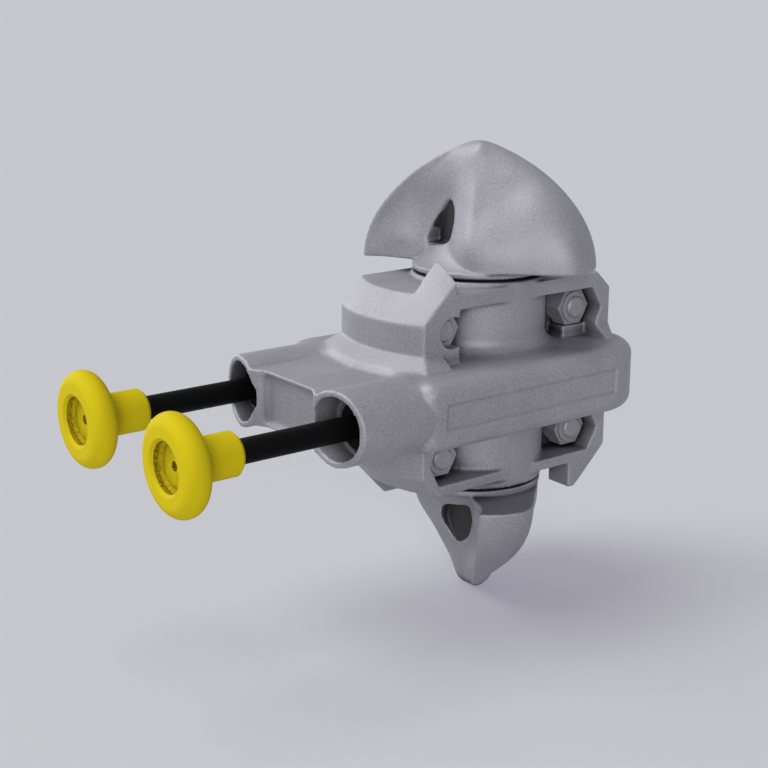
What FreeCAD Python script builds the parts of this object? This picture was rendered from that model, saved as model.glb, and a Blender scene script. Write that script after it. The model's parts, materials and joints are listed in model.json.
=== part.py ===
"""Container twistlock with a split cast housing, a double-cone spindle and two pull wires.

Millimetres. Z is the spindle's axis, X runs along the corner casting's slot, the wires leave
towards -X. Everything is modelled about the flange's mid-plane and is then lifted, so that
the flange's underside, which rests on the lower corner casting, lies at Z = 0.
"""
import FreeCAD
import Part
import math
import os

Vector = FreeCAD.Vector
AXIS_X = Vector(1, 0, 0)
AXIS_Y = Vector(0, 1, 0)
AXIS_Z = Vector(0, 0, 1)
CENTRE = Vector(0, 0, 0)

# Flange between the two containers
FLANGE_THICKNESS = 30.0
FLANGE_HALF_WIDTH = 51.0
FLANGE_RIGHT = 61.0
FLANGE_LEFT = -69.0
FLANGE_PLAN_CORNER = 25.0
FLANGE_LEFT_CORNER = 6.0
FLANGE_EDGE_ROUND = 6.0

# Collars that fill the corner castings' slots
COLLAR_HALF_WIDTH = 29.5
COLLAR_TOP = 44.5
COLLAR_LEFT_RADIUS = 61.5
COLLAR_RIGHT_RADIUS = 60.5
COLLAR_LEFT_BREAK = 33.5
COLLAR_RIGHT_BREAK = 37.0
COLLAR_SLOPE = 1.147
LOWER_COLLAR_TOP = 42.8
HORN_BACK = 36.9
HORN_INNER_SIDE = 16.0
HORN_TOP = 57.0
LOWER_HORN_BACK = 31.0
LOWER_HORN_TOP = 54.2
SKIRT_TOP = 20.5
SKIRT_FLARE = 8.0
SKIRT_RIGHT_FLARE = 1.0
SKIRT_FRONT_END = -44.5
SKIRT_ROOT = 9.0

# Barrel around the spindle
BARREL_RADIUS = 30.0
BARREL_TOP = 46.5
BARREL_FLARE = 6.0

# Mouth with a tubular lobe round each wire
WIRE_OFFSET = 36.5
LOBE_OFFSET = 35.0
LOBE_RADIUS = 15.9
LOBE_BORE_RADIUS = 13.2
LOBE_REACH = 3.0
WEB_HALF_HEIGHT = 12.5
WEB_RIM = 1.8
WEB_RECESS_DEPTH = 2.5
WEB_RECESS_HALF_WIDTH = 19.0
MOUTH_END_CENTRE = -101.5
MOUTH_END_LIP = -105.5
MOUTH_END_LOBE = -104.0
MOUTH_END_OUTER = -100.0
MOUTH_CENTRE_OFFSET = 16.8
MOUTH_LIP_OFFSET = 24.0
MOUTH_OUTER_OFFSET = 52.0
GUIDE_WALL_START = -92.0
GUIDE_WALL_END = -80.0

# Side pockets of the collars
POCKET_DEPTH_PLANE = 12.0
POCKET_LEFT = -35.0
POCKET_TOP = 37.9
POCKET_RIGHT_TOP = 42.3
POCKET_RIGHT_MIDDLE = 48.0
POCKET_RIGHT_LOW = 45.0
POCKET_LEFT_TOP = -45.2
POCKET_LEFT_MIDDLE = -50.0
POCKET_LEFT_LOW = -47.5
POCKET_LOW_Z = 22.7

# Bolts and nuts of the housing
WASHER_THICKNESS = 1.6
WASHER_RADIUS = 8.2
BOLT_X = BARREL_RADIUS + WASHER_RADIUS
BOLT_Z = 28.4
BOLT_RADIUS = 5.0
BOLT_HOLE_CLEARANCE = 0.5
BOLT_END = 24.0
BOLT_CHAMFER = 0.8
HEX_ACROSS_FLATS = 16.0
HEX_PLAY = 0.6
NUT_HEIGHT = 7.6
NUT_COLLAR_HEIGHT = 1.2
NUT_COLLAR_RADIUS = 7.0
NUT_SLOT_PLAY = 1.0
HEAD_HEIGHT = 6.4
BOLT_WINDOW_RADIUS = 6.8
BOLT_WINDOW_DEPTH = 7.0
NUT_LEDGE_HALF_WIDTH = 6.5
NUT_LEDGE_DEPTH = 10.0

# Nameplate recess on the front of the flange, left bare
PLATE_LEFT = -59.0
PLATE_RIGHT = 38.0
PLATE_HALF_HEIGHT = 6.2
PLATE_DEPTH = 0.8

# Spindle and bearings
SHAFT_RADIUS = 16.0
SHAFT_CLEARANCE = 0.06
TENON_RADIUS = 10.0
TENON_END = 68.0
TENON_PLAY = 0.05
TENON_END_PLAY = 0.5
BUSH_RADIUS = 21.0
BUSH_LENGTH = 10.0
BUSH_FLANGE_RADIUS = 28.0
BUSH_FLANGE_THICKNESS = 0.8
BUSH_SEAT_WALL = 0.5
SHAFT_BORE_PLAY = 1.0

# Cones
LOCK_ANGLE = 46.0
CONE_DISC_RADIUS = 29.5
CONE_DISC_BOTTOM = 47.5
WING_BOTTOM = 50.0
CONE_FOOT_HEIGHT = 12.0
CONE_FOOT_NECK = 18.0
CONE_FOOT_WAIST = 21.2
CONE_APEX = 104.0
CONE_HALF_LENGTH = 51.8
CONE_HALF_THICKNESS = 28.6
CONE_ARCH_POWER = 0.75
CONE_PIN_RADIUS = 4.0
CONE_PIN_Z = 57.0
CONE_PIN_START = -19.0
CONE_PIN_END = 35.0
FLANK_POCKET_ANGLE = 146.0
FLANK_POCKET_FLOOR = 12.4
FLANK_POCKET_OUTLINE = [(-12.0, 58.2), (-4.0, 58.6), (4.6, 61.6), (5.4, 69.5), (-1.6, 78.0), (-10.2, 69.0)]

# Cone sections: v at each station as a share of the half thickness, at shares of the wing's height.
# The stations run from the wing's end over the broad flank and the ridge into the hollow.
CONE_STATIONS = [1.0, 0.97, 0.86, 0.58, 0.28, 0.0, -0.22, -0.42, -0.70, -0.93]
CONE_SECTIONS = [
    (0.00, [0.20, 0.58, 0.89, 0.98, 1.00, 0.98, 0.61, 0.10, -0.10, -0.20]),
    (0.13, [0.18, 0.55, 0.87, 0.97, 0.99, 0.97, 0.58, 0.07, -0.11, -0.18]),
    (0.27, [0.16, 0.49, 0.81, 0.92, 0.92, 0.88, 0.52, 0.03, -0.12, -0.17]),
    (0.41, [0.13, 0.40, 0.69, 0.82, 0.77, 0.70, 0.44, 0.02, -0.11, -0.14]),
    (0.56, [0.10, 0.30, 0.51, 0.64, 0.58, 0.54, 0.35, 0.06, -0.07, -0.10]),
    (0.70, [0.06, 0.20, 0.33, 0.42, 0.41, 0.41, 0.29, 0.12, -0.02, -0.06]),
    (0.84, [0.03, 0.11, 0.19, 0.27, 0.30, 0.32, 0.25, 0.14, 0.02, -0.03]),
    (0.94, [0.01, 0.06, 0.12, 0.18, 0.22, 0.24, 0.20, 0.13, 0.05, -0.01]),
    (0.99, [0.01, 0.03, 0.05, 0.08, 0.10, 0.11, 0.09, 0.06, 0.02, -0.01]),
]

# Wire drum, key and rope ends
DRUM_RADIUS = 41.5
DRUM_HALF_HEIGHT = 6.0
DRUM_HUB_PLAY = 0.05
CHAMBER_PLAY = 1.5
CHAMBER_SIDE_PLAY = 3.0
ROPE_RADIUS = 3.0
ROPE_GROOVE_PLAY = 0.3
NIPPLE_RADIUS = 4.8
NIPPLE_HALF_HEIGHT = 5.0
NIPPLE_ANGLE = 58.0
NIPPLE_PLAY = 0.1
KEY_SIZE = 6.0
KEY_PLAY = 0.05

# Return spring round the shaft
SPRING_MEAN_RADIUS = 20.0
SPRING_WIRE_RADIUS = 1.8
SPRING_PITCH = 5.0
SPRING_TURNS = 4
SPRING_SIDES = 16
SPRING_BOTTOM = 12.5
SPRING_CHAMBER_RADIUS = 23.5
SPRING_TANG_LENGTH = 5.0
SPRING_TANG_PLAY = 0.2
SPRING_ANGLE = -90.0

# Wires and knobs
SLEEVE_RADIUS = 5.0
SLEEVE_WALL_PLAY = 0.1
SLEEVE_INNER_END = -57.0
CHANNEL_RADIUS = 7.0
GUIDE_RADIUS = 8.0
GUIDE_FLANGE_RADIUS = 10.0
GUIDE_FLANGE_THICKNESS = 2.0
GUIDE_PLAY = 0.08
KNOB_DISC_X = -175.0
KNOB_RIM_CENTRE_RADIUS = 14.8
KNOB_RIM_RADIUS = 5.5
KNOB_NECK_END = -150.0
KNOB_NECK_RADIUS = 8.9
KNOB_NECK_ROUND = 1.6
KNOB_NECK_HOLLOW = 4.0
KNOB_DISH_RADIUS = 10.0
KNOB_DISH_FLOOR = -176.0
KNOB_LIP = 1.2
KNOB_SCREW_DEPTH = 3.0
KNOB_SCREW_RADIUS = 2.0
KNOB_BORE_END = -160.0
FERRULE_END = -168.0
FERRULE_RADIUS = 4.6
KNOB_PLAY = 0.05

# Dowels across the parting plane
DOWEL_RADIUS = 3.0
DOWEL_HALF_LENGTH = 9.0
DOWEL_RIGHT_X = 52.0
DOWEL_LEFT_X = -58.0
DOWEL_PLAY = 0.02
DOWEL_END_PLAY = 0.5

# A length that reaches past every piece, how far a cutting shape runs on, and equal within this
REACH = 2 * CONE_APEX
OVERRUN = 5.0
TOLERANCE = 0.01


def box(x_range, y_range, z_range):
    """A box between the given limits."""
    size = [high - low for low, high in (x_range, y_range, z_range)]
    return Part.makeBox(*size, Vector(x_range[0], y_range[0], z_range[0]))


def cylinder(radius, start, end):
    """A cylinder of the radius between two points."""
    path = end - start
    return Part.makeCylinder(radius, path.Length, start, path)


def vertical_cylinder(radius, low, high, x=0.0, y=0.0):
    return cylinder(radius, Vector(x, y, low), Vector(x, y, high))


def prism(points, direction):
    """The closed polygon through the points, swept along the direction."""
    return Part.Face(Part.makePolygon(points + points[:1])).extrude(direction)


def revolved(profile, axis=AXIS_Z, start=CENTRE):
    """The closed polygon of the profile, turned once round the axis."""
    face = Part.Face(Part.makePolygon(profile + profile[:1]))
    return face.revolve(start, axis, 360)


def hexagon(across_flats, centre, height):
    """A hexagonal prism along +Y with two flats level."""
    corner = across_flats / math.sqrt(3)
    points = []
    for index in range(6):
        angle = math.radians(60 * index)
        points.append(centre + Vector(corner * math.cos(angle), 0, corner * math.sin(angle)))
    return prism(points, Vector(0, height, 0))


def turned_below(shape, axis=AXIS_Y):
    """The copy of an upper piece that serves below: half a turn about a level axis."""
    return shape.rotated(CENTRE, axis, 180)


def half_turn(shape):
    """The copy of a piece, half a turn about the spindle."""
    return shape.rotated(CENTRE, AXIS_Z, 180)


def mirrored_rear(shape):
    """The mirror copy of a front piece at the rear."""
    return shape.mirror(CENTRE, AXIS_Y)


def fused(shapes):
    return shapes[0].fuse(shapes[1:]).removeSplitter()


def edges_at_height(solid, height):
    """The solid's edges that lie level at plus or minus the height."""
    found = []
    for edge in solid.Edges:
        bounds = edge.BoundBox
        if bounds.ZLength < TOLERANCE and abs(abs(bounds.ZMin) - height) < TOLERANCE:
            found.append(edge)
    return found


def flange():
    """The plate between the containers, with rounded plan corners and rounded rims."""
    half = FLANGE_THICKNESS / 2
    plate = box((FLANGE_LEFT, FLANGE_RIGHT), (-FLANGE_HALF_WIDTH, FLANGE_HALF_WIDTH), (-half, half))
    for end, radius in ((FLANGE_RIGHT, FLANGE_PLAN_CORNER), (FLANGE_LEFT, FLANGE_LEFT_CORNER)):
        upright = []
        for edge in plate.Edges:
            bounds = edge.BoundBox
            if bounds.ZLength > half and bounds.XLength < TOLERANCE and abs(bounds.XMin - end) < TOLERANCE:
                upright.append(edge)
        plate = plate.makeFillet(radius, upright)
    return plate.makeFillet(FLANGE_EDGE_ROUND, edges_at_height(plate, half))


def mouth():
    """The two lobes and the web between them, with the end cut to its curved outline."""
    start = MOUTH_END_LIP - OVERRUN
    end = FLANGE_LEFT + LOBE_REACH
    lobes = [
        cylinder(LOBE_RADIUS, Vector(start, side * LOBE_OFFSET, 0), Vector(end, side * LOBE_OFFSET, 0))
        for side in (-1, 1)
    ]
    web = box((start, end), (-LOBE_OFFSET, LOBE_OFFSET), (-WEB_HALF_HEIGHT, WEB_HALF_HEIGHT))
    solid = fused([web] + lobes)
    half_outline = [
        Vector(MOUTH_END_CENTRE, MOUTH_CENTRE_OFFSET, 0),
        Vector(MOUTH_END_LIP, MOUTH_LIP_OFFSET, 0),
        Vector(MOUTH_END_LOBE, LOBE_OFFSET, 0),
        Vector(MOUTH_END_OUTER, MOUTH_OUTER_OFFSET, 0),
    ]
    front = [Vector(point.x, -point.y, 0) for point in reversed(half_outline)]
    corners = [Vector(-REACH, side * MOUTH_OUTER_OFFSET, 0) for side in (1, -1)]
    outline = front + half_outline + corners
    waste = prism(outline, Vector(0, 0, FLANGE_THICKNESS * 2))
    waste.translate(Vector(0, 0, -FLANGE_THICKNESS))
    solid = solid.cut(waste)
    recess = box(
        (MOUTH_END_LIP - OVERRUN, MOUTH_END_CENTRE + WEB_RECESS_DEPTH),
        (-WEB_RECESS_HALF_WIDTH, WEB_RECESS_HALF_WIDTH),
        (-WEB_HALF_HEIGHT + WEB_RIM, WEB_HALF_HEIGHT - WEB_RIM),
    )
    return solid.cut(recess)


def collar_end(radius, break_height, top):
    """A round end wall that slopes inwards above the break, as a solid of revolution."""
    inner = radius - (top - break_height) / COLLAR_SLOPE
    return revolved(
        [
            Vector(0, 0, 0),
            Vector(radius, 0, 0),
            Vector(radius, 0, break_height),
            Vector(inner, 0, top),
            Vector(0, 0, top),
        ]
    )


def skirt_plan(height, left_radius, right_radius, half_width):
    """The outline of the skirt at a height, as a wire."""
    halves = []
    for radius, x_range in ((left_radius, (-REACH, 0)), (right_radius, (0, REACH))):
        halves.append(
            vertical_cylinder(radius, 0, 1).common(box(x_range, (-half_width, half_width), (0, 1)))
        )
    plan = fused(halves)
    level = [face for face in plan.Faces if face.BoundBox.ZMax < TOLERANCE]
    wire = level[0].OuterWire
    wire.translate(Vector(0, 0, height))
    return wire


def skirt():
    """The foot of the collar, which flares out in a cone on the flange."""
    top = skirt_plan(SKIRT_TOP, COLLAR_LEFT_RADIUS, COLLAR_RIGHT_RADIUS, COLLAR_HALF_WIDTH)
    foot_size = (
        COLLAR_LEFT_RADIUS + SKIRT_FLARE,
        COLLAR_RIGHT_RADIUS + SKIRT_RIGHT_FLARE,
        COLLAR_HALF_WIDTH + SKIRT_FLARE,
    )
    foot = skirt_plan(FLANGE_THICKNESS / 2, *foot_size)
    root = skirt_plan(SKIRT_ROOT, *foot_size)
    solid = fused([Part.makeLoft([foot, top], True, True), Part.makeLoft([root, foot], True, True)])
    gap = box(
        (SKIRT_FRONT_END, POCKET_RIGHT_LOW),
        (-REACH, -COLLAR_HALF_WIDTH),
        (FLANGE_THICKNESS / 2, SKIRT_TOP + OVERRUN),
    )
    return solid.cut([gap, mirrored_rear(gap)])


def barrel():
    """The round barrel about the spindle, flared where it stands on the flange."""
    foot = FLANGE_THICKNESS / 2
    profile = [
        Vector(0, 0, 0),
        Vector(BARREL_RADIUS + BARREL_FLARE, 0, 0),
        Vector(BARREL_RADIUS + BARREL_FLARE, 0, foot),
    ]
    for index in range(1, 4):
        angle = math.radians(90 * index / 3)
        reach = BARREL_FLARE * (1 - math.sin(angle))
        rise = BARREL_FLARE * (1 - math.cos(angle))
        profile.append(Vector(BARREL_RADIUS + reach, 0, foot + rise))
    profile += [Vector(BARREL_RADIUS, 0, BARREL_TOP), Vector(0, 0, BARREL_TOP)]
    return revolved(profile)


def side_pocket(left_end):
    """The open pocket in the collar's front face, beside and across the barrel."""
    foot = FLANGE_THICKNESS / 2
    right_end = [
        (POCKET_RIGHT_TOP, POCKET_TOP),
        (POCKET_RIGHT_MIDDLE, BOLT_Z),
        (POCKET_RIGHT_LOW, POCKET_LOW_Z),
        (POCKET_RIGHT_LOW, foot),
    ]
    corners = [Vector(x, -POCKET_DEPTH_PLANE, z) for x, z in left_end + right_end]
    return prism(corners, Vector(0, -REACH, 0))


def upper_pocket():
    """The upper collar's pocket, which ends at the left ear's straight wall."""
    return side_pocket([(POCKET_LEFT, FLANGE_THICKNESS / 2), (POCKET_LEFT, POCKET_TOP)])


def lower_pocket():
    """The lower collar's pocket, which goes round the nut at both ends."""
    return side_pocket(
        [
            (POCKET_LEFT_LOW, FLANGE_THICKNESS / 2),
            (POCKET_LEFT_LOW, POCKET_LOW_Z),
            (POCKET_LEFT_MIDDLE, BOLT_Z),
            (POCKET_LEFT_TOP, POCKET_TOP),
        ]
    )


def nut_face():
    """How far the nut's locking collar stands before the parting plane."""
    return POCKET_DEPTH_PLANE + WASHER_THICKNESS + NUT_HEIGHT + NUT_COLLAR_HEIGHT


def nut_slot():
    """The slot in the left ear that a nut slides into from the pocket."""
    half = (HEX_ACROSS_FLATS + HEX_PLAY) / 2
    corner = half * 2 / math.sqrt(3)
    return box(
        (-BOLT_X - corner, POCKET_LEFT + OVERRUN),
        (-nut_face() - NUT_SLOT_PLAY, -POCKET_DEPTH_PLANE),
        (BOLT_Z - half, BOLT_Z + half),
    )


def nut_ledge(x):
    """The ledge beside a nut that keeps it from turning."""
    foot = FLANGE_THICKNESS / 2 - OVERRUN
    top = BOLT_Z - (HEX_ACROSS_FLATS + HEX_PLAY) / 2
    return box(
        (x - NUT_LEDGE_HALF_WIDTH, x + NUT_LEDGE_HALF_WIDTH),
        (-POCKET_DEPTH_PLANE - NUT_LEDGE_DEPTH, -POCKET_DEPTH_PLANE),
        (foot, top),
    )


def collar_blank(top, horn_back, horn_top):
    """A collar with its two horns and its skirt, before the pockets are cut."""
    slab = box((-REACH, REACH), (-COLLAR_HALF_WIDTH, COLLAR_HALF_WIDTH), (0, top))
    left = collar_end(COLLAR_LEFT_RADIUS, COLLAR_LEFT_BREAK, HORN_TOP)
    right = collar_end(COLLAR_RIGHT_RADIUS, COLLAR_RIGHT_BREAK, HORN_TOP)
    left_half = box((-REACH, 0), (-REACH, REACH), (0, REACH))
    horn_space = box((-REACH, -horn_back), (-COLLAR_HALF_WIDTH, -HORN_INNER_SIDE), (0, horn_top))
    return fused(
        [
            left.common(left_half).common(slab),
            right.common(half_turn(left_half)).common(slab),
            left.common(horn_space),
            right.common(half_turn(horn_space)),
            skirt(),
        ]
    )


def upper_collar():
    """The collar above the flange, before it is bored."""
    pocket = upper_pocket().fuse(nut_slot())
    body = collar_blank(COLLAR_TOP, HORN_BACK, HORN_TOP).cut([pocket, mirrored_rear(pocket)])
    ledge = nut_ledge(BOLT_X)
    return fused([body, ledge, mirrored_rear(ledge), barrel()])


def lower_collar():
    """The collar below the flange, built upwards and then turned over."""
    pocket = lower_pocket()
    body = collar_blank(LOWER_COLLAR_TOP, LOWER_HORN_BACK, LOWER_HORN_TOP)
    body = body.cut([pocket, mirrored_rear(pocket)])
    ledges = [nut_ledge(-BOLT_X), nut_ledge(BOLT_X)]
    ledges += [mirrored_rear(ledge) for ledge in ledges]
    return turned_below(fused([body] + ledges + [barrel()]), AXIS_X)


def bolt_places():
    """The four bolt axes: X and Z."""
    return [(x * BOLT_X, z * BOLT_Z) for z in (1, -1) for x in (-1, 1)]


def wire_passages():
    """Mouth bores, guide seats and channels for both wires."""
    cuts = []
    for side in (-1, 1):
        steps = [
            (LOBE_BORE_RADIUS, LOBE_OFFSET, MOUTH_END_LIP - OVERRUN, GUIDE_WALL_START),
            (GUIDE_RADIUS, WIRE_OFFSET, GUIDE_WALL_START - OVERRUN, GUIDE_WALL_END),
            (CHANNEL_RADIUS, WIRE_OFFSET, GUIDE_WALL_END - OVERRUN, 0),
        ]
        for radius, offset, start, end in steps:
            y = side * offset
            cuts.append(cylinder(radius, Vector(start, y, 0), Vector(end, y, 0)))
    return cuts


def spindle_space():
    """The bored space for the spindle, bushes, spring and drum."""
    chamber = DRUM_HALF_HEIGHT + CHAMBER_SIDE_PLAY
    bush_low = BARREL_TOP - BUSH_LENGTH
    parts = [
        vertical_cylinder(DRUM_RADIUS + CHAMBER_PLAY, -chamber, chamber),
        vertical_cylinder(SHAFT_RADIUS + SHAFT_BORE_PLAY, -BARREL_TOP - OVERRUN, BARREL_TOP + OVERRUN),
        vertical_cylinder(BUSH_RADIUS, bush_low, BARREL_TOP + OVERRUN),
        vertical_cylinder(BUSH_RADIUS, -BARREL_TOP - OVERRUN, -bush_low),
        vertical_cylinder(SPRING_CHAMBER_RADIUS, 0, bush_low - BUSH_SEAT_WALL),
    ]
    return parts


def spring_top_height():
    return SPRING_BOTTOM + SPRING_PITCH * SPRING_TURNS


def casting():
    """The whole housing before it is parted."""
    body = fused([flange(), mouth(), upper_collar(), lower_collar()])
    cuts = spindle_space() + wire_passages()
    for x, z in bolt_places():
        hole = BOLT_RADIUS + BOLT_HOLE_CLEARANCE
        cuts.append(cylinder(hole, Vector(x, -BARREL_RADIUS, z), Vector(x, BARREL_RADIUS, z)))
    window = cylinder(
        BOLT_WINDOW_RADIUS,
        Vector(-BOLT_X, -COLLAR_HALF_WIDTH - OVERRUN, BOLT_Z),
        Vector(-BOLT_X, -COLLAR_HALF_WIDTH + BOLT_WINDOW_DEPTH, BOLT_Z),
    )
    cuts += [window, mirrored_rear(window)]
    for x in (DOWEL_LEFT_X, DOWEL_RIGHT_X):
        reach = DOWEL_HALF_LENGTH + DOWEL_END_PLAY
        cuts.append(cylinder(DOWEL_RADIUS + DOWEL_PLAY, Vector(x, -reach, 0), Vector(x, reach, 0)))
    cuts.append(
        box(
            (PLATE_LEFT, PLATE_RIGHT),
            (-REACH, -FLANGE_HALF_WIDTH + PLATE_DEPTH),
            (-PLATE_HALF_HEIGHT, PLATE_HALF_HEIGHT),
        )
    )
    tang = SPRING_WIRE_RADIUS + SPRING_TANG_PLAY
    tang_end = SPRING_MEAN_RADIUS + SPRING_TANG_LENGTH + SPRING_TANG_PLAY
    height = spring_top_height()
    slot = cylinder(tang, Vector(0, 0, height), Vector(tang_end, 0, height))
    cuts.append(slot.rotated(CENTRE, AXIS_Z, SPRING_ANGLE))
    return body.cut(cuts)


def housing_half(whole, side):
    """The part of the casting on one side of the parting plane."""
    keep = (0, REACH) if side > 0 else (-REACH, 0)
    return whole.common(box((-REACH, REACH), keep, (-REACH, REACH)))


def bolts():
    """Hex bolts from the rear with their ends at the front."""
    solids = []
    for x, z in bolt_places():
        shank = cylinder(BOLT_RADIUS, Vector(x, -BOLT_END, z), Vector(x, POCKET_DEPTH_PLANE + OVERRUN, z))
        rim = [edge for edge in shank.Edges if edge.BoundBox.YMax < -BOLT_END + TOLERANCE]
        shank = shank.makeChamfer(BOLT_CHAMFER, rim)
        head = hexagon(HEX_ACROSS_FLATS, Vector(x, POCKET_DEPTH_PLANE, z), HEAD_HEIGHT)
        solids.append(fused([shank, head]))
    return Part.makeCompound(solids)


def washers():
    """The plain washers under the nuts."""
    solids = []
    for x, z in bolt_places():
        seat = Vector(x, -POCKET_DEPTH_PLANE, z)
        face = seat - AXIS_Y * WASHER_THICKNESS
        hole = cylinder(BOLT_RADIUS, seat + AXIS_Y, face - AXIS_Y)
        solids.append(cylinder(WASHER_RADIUS, seat, face).cut(hole))
    return Part.makeCompound(solids)


def nuts():
    """Hex nuts with a round locking collar on their outer side."""
    solids = []
    for x, z in bolt_places():
        seat = -POCKET_DEPTH_PLANE - WASHER_THICKNESS
        outer = -nut_face()
        hexagonal = hexagon(HEX_ACROSS_FLATS, Vector(x, seat, z), -NUT_HEIGHT)
        collar = cylinder(NUT_COLLAR_RADIUS, Vector(x, outer + OVERRUN, z), Vector(x, outer, z))
        bore = cylinder(BOLT_RADIUS, Vector(x, outer - OVERRUN, z), Vector(x, seat + OVERRUN, z))
        solids.append(fused([hexagonal, collar]).cut(bore))
    return Part.makeCompound(solids)


def bush():
    """The flanged plastic bush at the barrel's end."""
    low = BARREL_TOP - BUSH_LENGTH
    flange_top = BARREL_TOP + BUSH_FLANGE_THICKNESS
    inner = SHAFT_RADIUS + SHAFT_CLEARANCE
    return revolved(
        [
            Vector(inner, 0, low),
            Vector(BUSH_RADIUS, 0, low),
            Vector(BUSH_RADIUS, 0, BARREL_TOP),
            Vector(BUSH_FLANGE_RADIUS, 0, BARREL_TOP),
            Vector(BUSH_FLANGE_RADIUS, 0, flange_top),
            Vector(inner, 0, flange_top),
        ]
    )


def cone_scale(share):
    """How much of the wing's length is left at a share of its height: a round-topped arch."""
    return (1 - share**2) ** CONE_ARCH_POWER


def cone_section(share, offsets):
    """One closed section of the cone, the same after half a turn."""
    height = WING_BOTTOM + (CONE_APEX - WING_BOTTOM) * share
    length = CONE_HALF_LENGTH * cone_scale(share)
    half = [
        Vector(station * length, -offset * CONE_HALF_THICKNESS, height)
        for station, offset in zip(CONE_STATIONS, offsets)
    ]
    points = half + [Vector(-point.x, -point.y, height) for point in half]
    curve = Part.BSplineCurve()
    curve.interpolate(Points=points, PeriodicFlag=True)
    return Part.Wire([curve.toShape()])


def cone_foot():
    """The round disc under the cone and the hollow fillet that rises from it."""
    rim = Vector(CONE_DISC_RADIUS, 0, WING_BOTTOM)
    waist = Vector(CONE_FOOT_WAIST, 0, WING_BOTTOM + CONE_FOOT_HEIGHT / 2)
    neck = Vector(CONE_FOOT_NECK, 0, WING_BOTTOM + CONE_FOOT_HEIGHT)
    below = Vector(CONE_DISC_RADIUS, 0, CONE_DISC_BOTTOM)
    straight = Part.makePolygon([neck, Vector(0, 0, neck.z), Vector(0, 0, below.z), below, rim])
    fillet = Part.Arc(rim, waist, neck).toShape()
    return Part.Face(Part.Wire(straight.Edges + [fillet])).revolve(CENTRE, AXIS_Z, 360)


def flank_pocket():
    """The leaf-shaped pocket in the steep side of a wing's hollow."""
    points = [Vector(0, s, height) for s, height in FLANK_POCKET_OUTLINE]
    curve = Part.BSplineCurve()
    curve.interpolate(Points=points, PeriodicFlag=True)
    pocket = Part.Face(Part.Wire([curve.toShape()])).extrude(AXIS_X * REACH)
    pocket.translate(AXIS_X * FLANK_POCKET_FLOOR)
    return pocket.rotated(CENTRE, AXIS_Z, -FLANK_POCKET_ANGLE)


def cone_blank():
    """The cone in its open position, along X, above the housing."""
    sections = [cone_section(share, offsets) for share, offsets in CONE_SECTIONS]
    body = Part.makeLoft(sections, True, False)
    pocket = flank_pocket()
    return body.fuse(cone_foot()).cut([pocket, half_turn(pocket)])


def cone(angle):
    """The upper cone, turned to its angle about the spindle, with tenon bore and pin hole."""
    solid = cone_blank().rotated(CENTRE, AXIS_Z, angle)
    bore_end = TENON_END + TENON_END_PLAY
    bore = vertical_cylinder(TENON_RADIUS + TENON_PLAY, CONE_DISC_BOTTOM - OVERRUN, bore_end)
    hole = cylinder(
        CONE_PIN_RADIUS,
        Vector(0, CONE_PIN_START, CONE_PIN_Z),
        Vector(0, REACH / 2, CONE_PIN_Z),
    )
    return solid.cut([bore, hole])


def cone_pin():
    """The cross pin that holds a cone on the shaft."""
    start = Vector(0, CONE_PIN_START, CONE_PIN_Z)
    return cylinder(CONE_PIN_RADIUS - KEY_PLAY, start, Vector(0, CONE_PIN_END, CONE_PIN_Z))


def key():
    """The parallel key between shaft and drum, on the mouth's side."""
    half = KEY_SIZE / 2
    return box(
        (-SHAFT_RADIUS - half, -SHAFT_RADIUS + half),
        (-half, half),
        (-DRUM_HALF_HEIGHT, DRUM_HALF_HEIGHT),
    )


def keyway():
    half = KEY_SIZE / 2 + KEY_PLAY
    end = DRUM_HALF_HEIGHT + KEY_PLAY
    return box((-SHAFT_RADIUS - half, -SHAFT_RADIUS + half), (-half, half), (-end, end))


def shaft():
    """The spindle's shaft with a tenon in each cone."""
    shoulder = CONE_DISC_BOTTOM
    body = vertical_cylinder(SHAFT_RADIUS, -shoulder, shoulder)
    tenons = vertical_cylinder(TENON_RADIUS, -TENON_END, TENON_END)
    solid = fused([body, tenons])
    holes = []
    for level in (-CONE_PIN_Z, CONE_PIN_Z):
        start = Vector(0, -SHAFT_RADIUS, level)
        holes.append(cylinder(CONE_PIN_RADIUS, start, Vector(0, SHAFT_RADIUS, level)))
    return solid.cut(holes + [keyway()])


def nipple_centre(side):
    """The rope nipple's place on the drum, past the point where the wire leaves it."""
    angle = math.radians(90 - NIPPLE_ANGLE)
    return Vector(WIRE_OFFSET * math.cos(angle), side * WIRE_OFFSET * math.sin(angle), 0)


def drum():
    """The grooved drum that both wire ropes wrap."""
    disc = vertical_cylinder(DRUM_RADIUS, -DRUM_HALF_HEIGHT, DRUM_HALF_HEIGHT)
    bore = vertical_cylinder(SHAFT_RADIUS + DRUM_HUB_PLAY, -REACH / 2, REACH / 2)
    half = ROPE_RADIUS + ROPE_GROOVE_PLAY
    groove = revolved(
        [
            Vector(WIRE_OFFSET - half, 0, -half),
            Vector(DRUM_RADIUS + OVERRUN, 0, -half),
            Vector(DRUM_RADIUS + OVERRUN, 0, half),
            Vector(WIRE_OFFSET - half, 0, half),
        ]
    )
    seats = []
    for side in (-1, 1):
        place = nipple_centre(side)
        reach = NIPPLE_HALF_HEIGHT + NIPPLE_PLAY
        radius = NIPPLE_RADIUS + NIPPLE_PLAY
        seats.append(vertical_cylinder(radius, -reach, REACH / 2, place.x, place.y))
    tang = vertical_cylinder(
        SPRING_WIRE_RADIUS + SPRING_TANG_PLAY, 0, REACH / 2, SPRING_MEAN_RADIUS, 0
    ).rotated(CENTRE, AXIS_Z, SPRING_ANGLE)
    return disc.cut([bore, groove, keyway(), tang] + seats)


def nipple(side):
    """The barrel nipple at a rope's end, seated in the drum."""
    place = nipple_centre(side)
    return vertical_cylinder(
        NIPPLE_RADIUS, -NIPPLE_HALF_HEIGHT, NIPPLE_HALF_HEIGHT, place.x, place.y
    )


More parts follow.
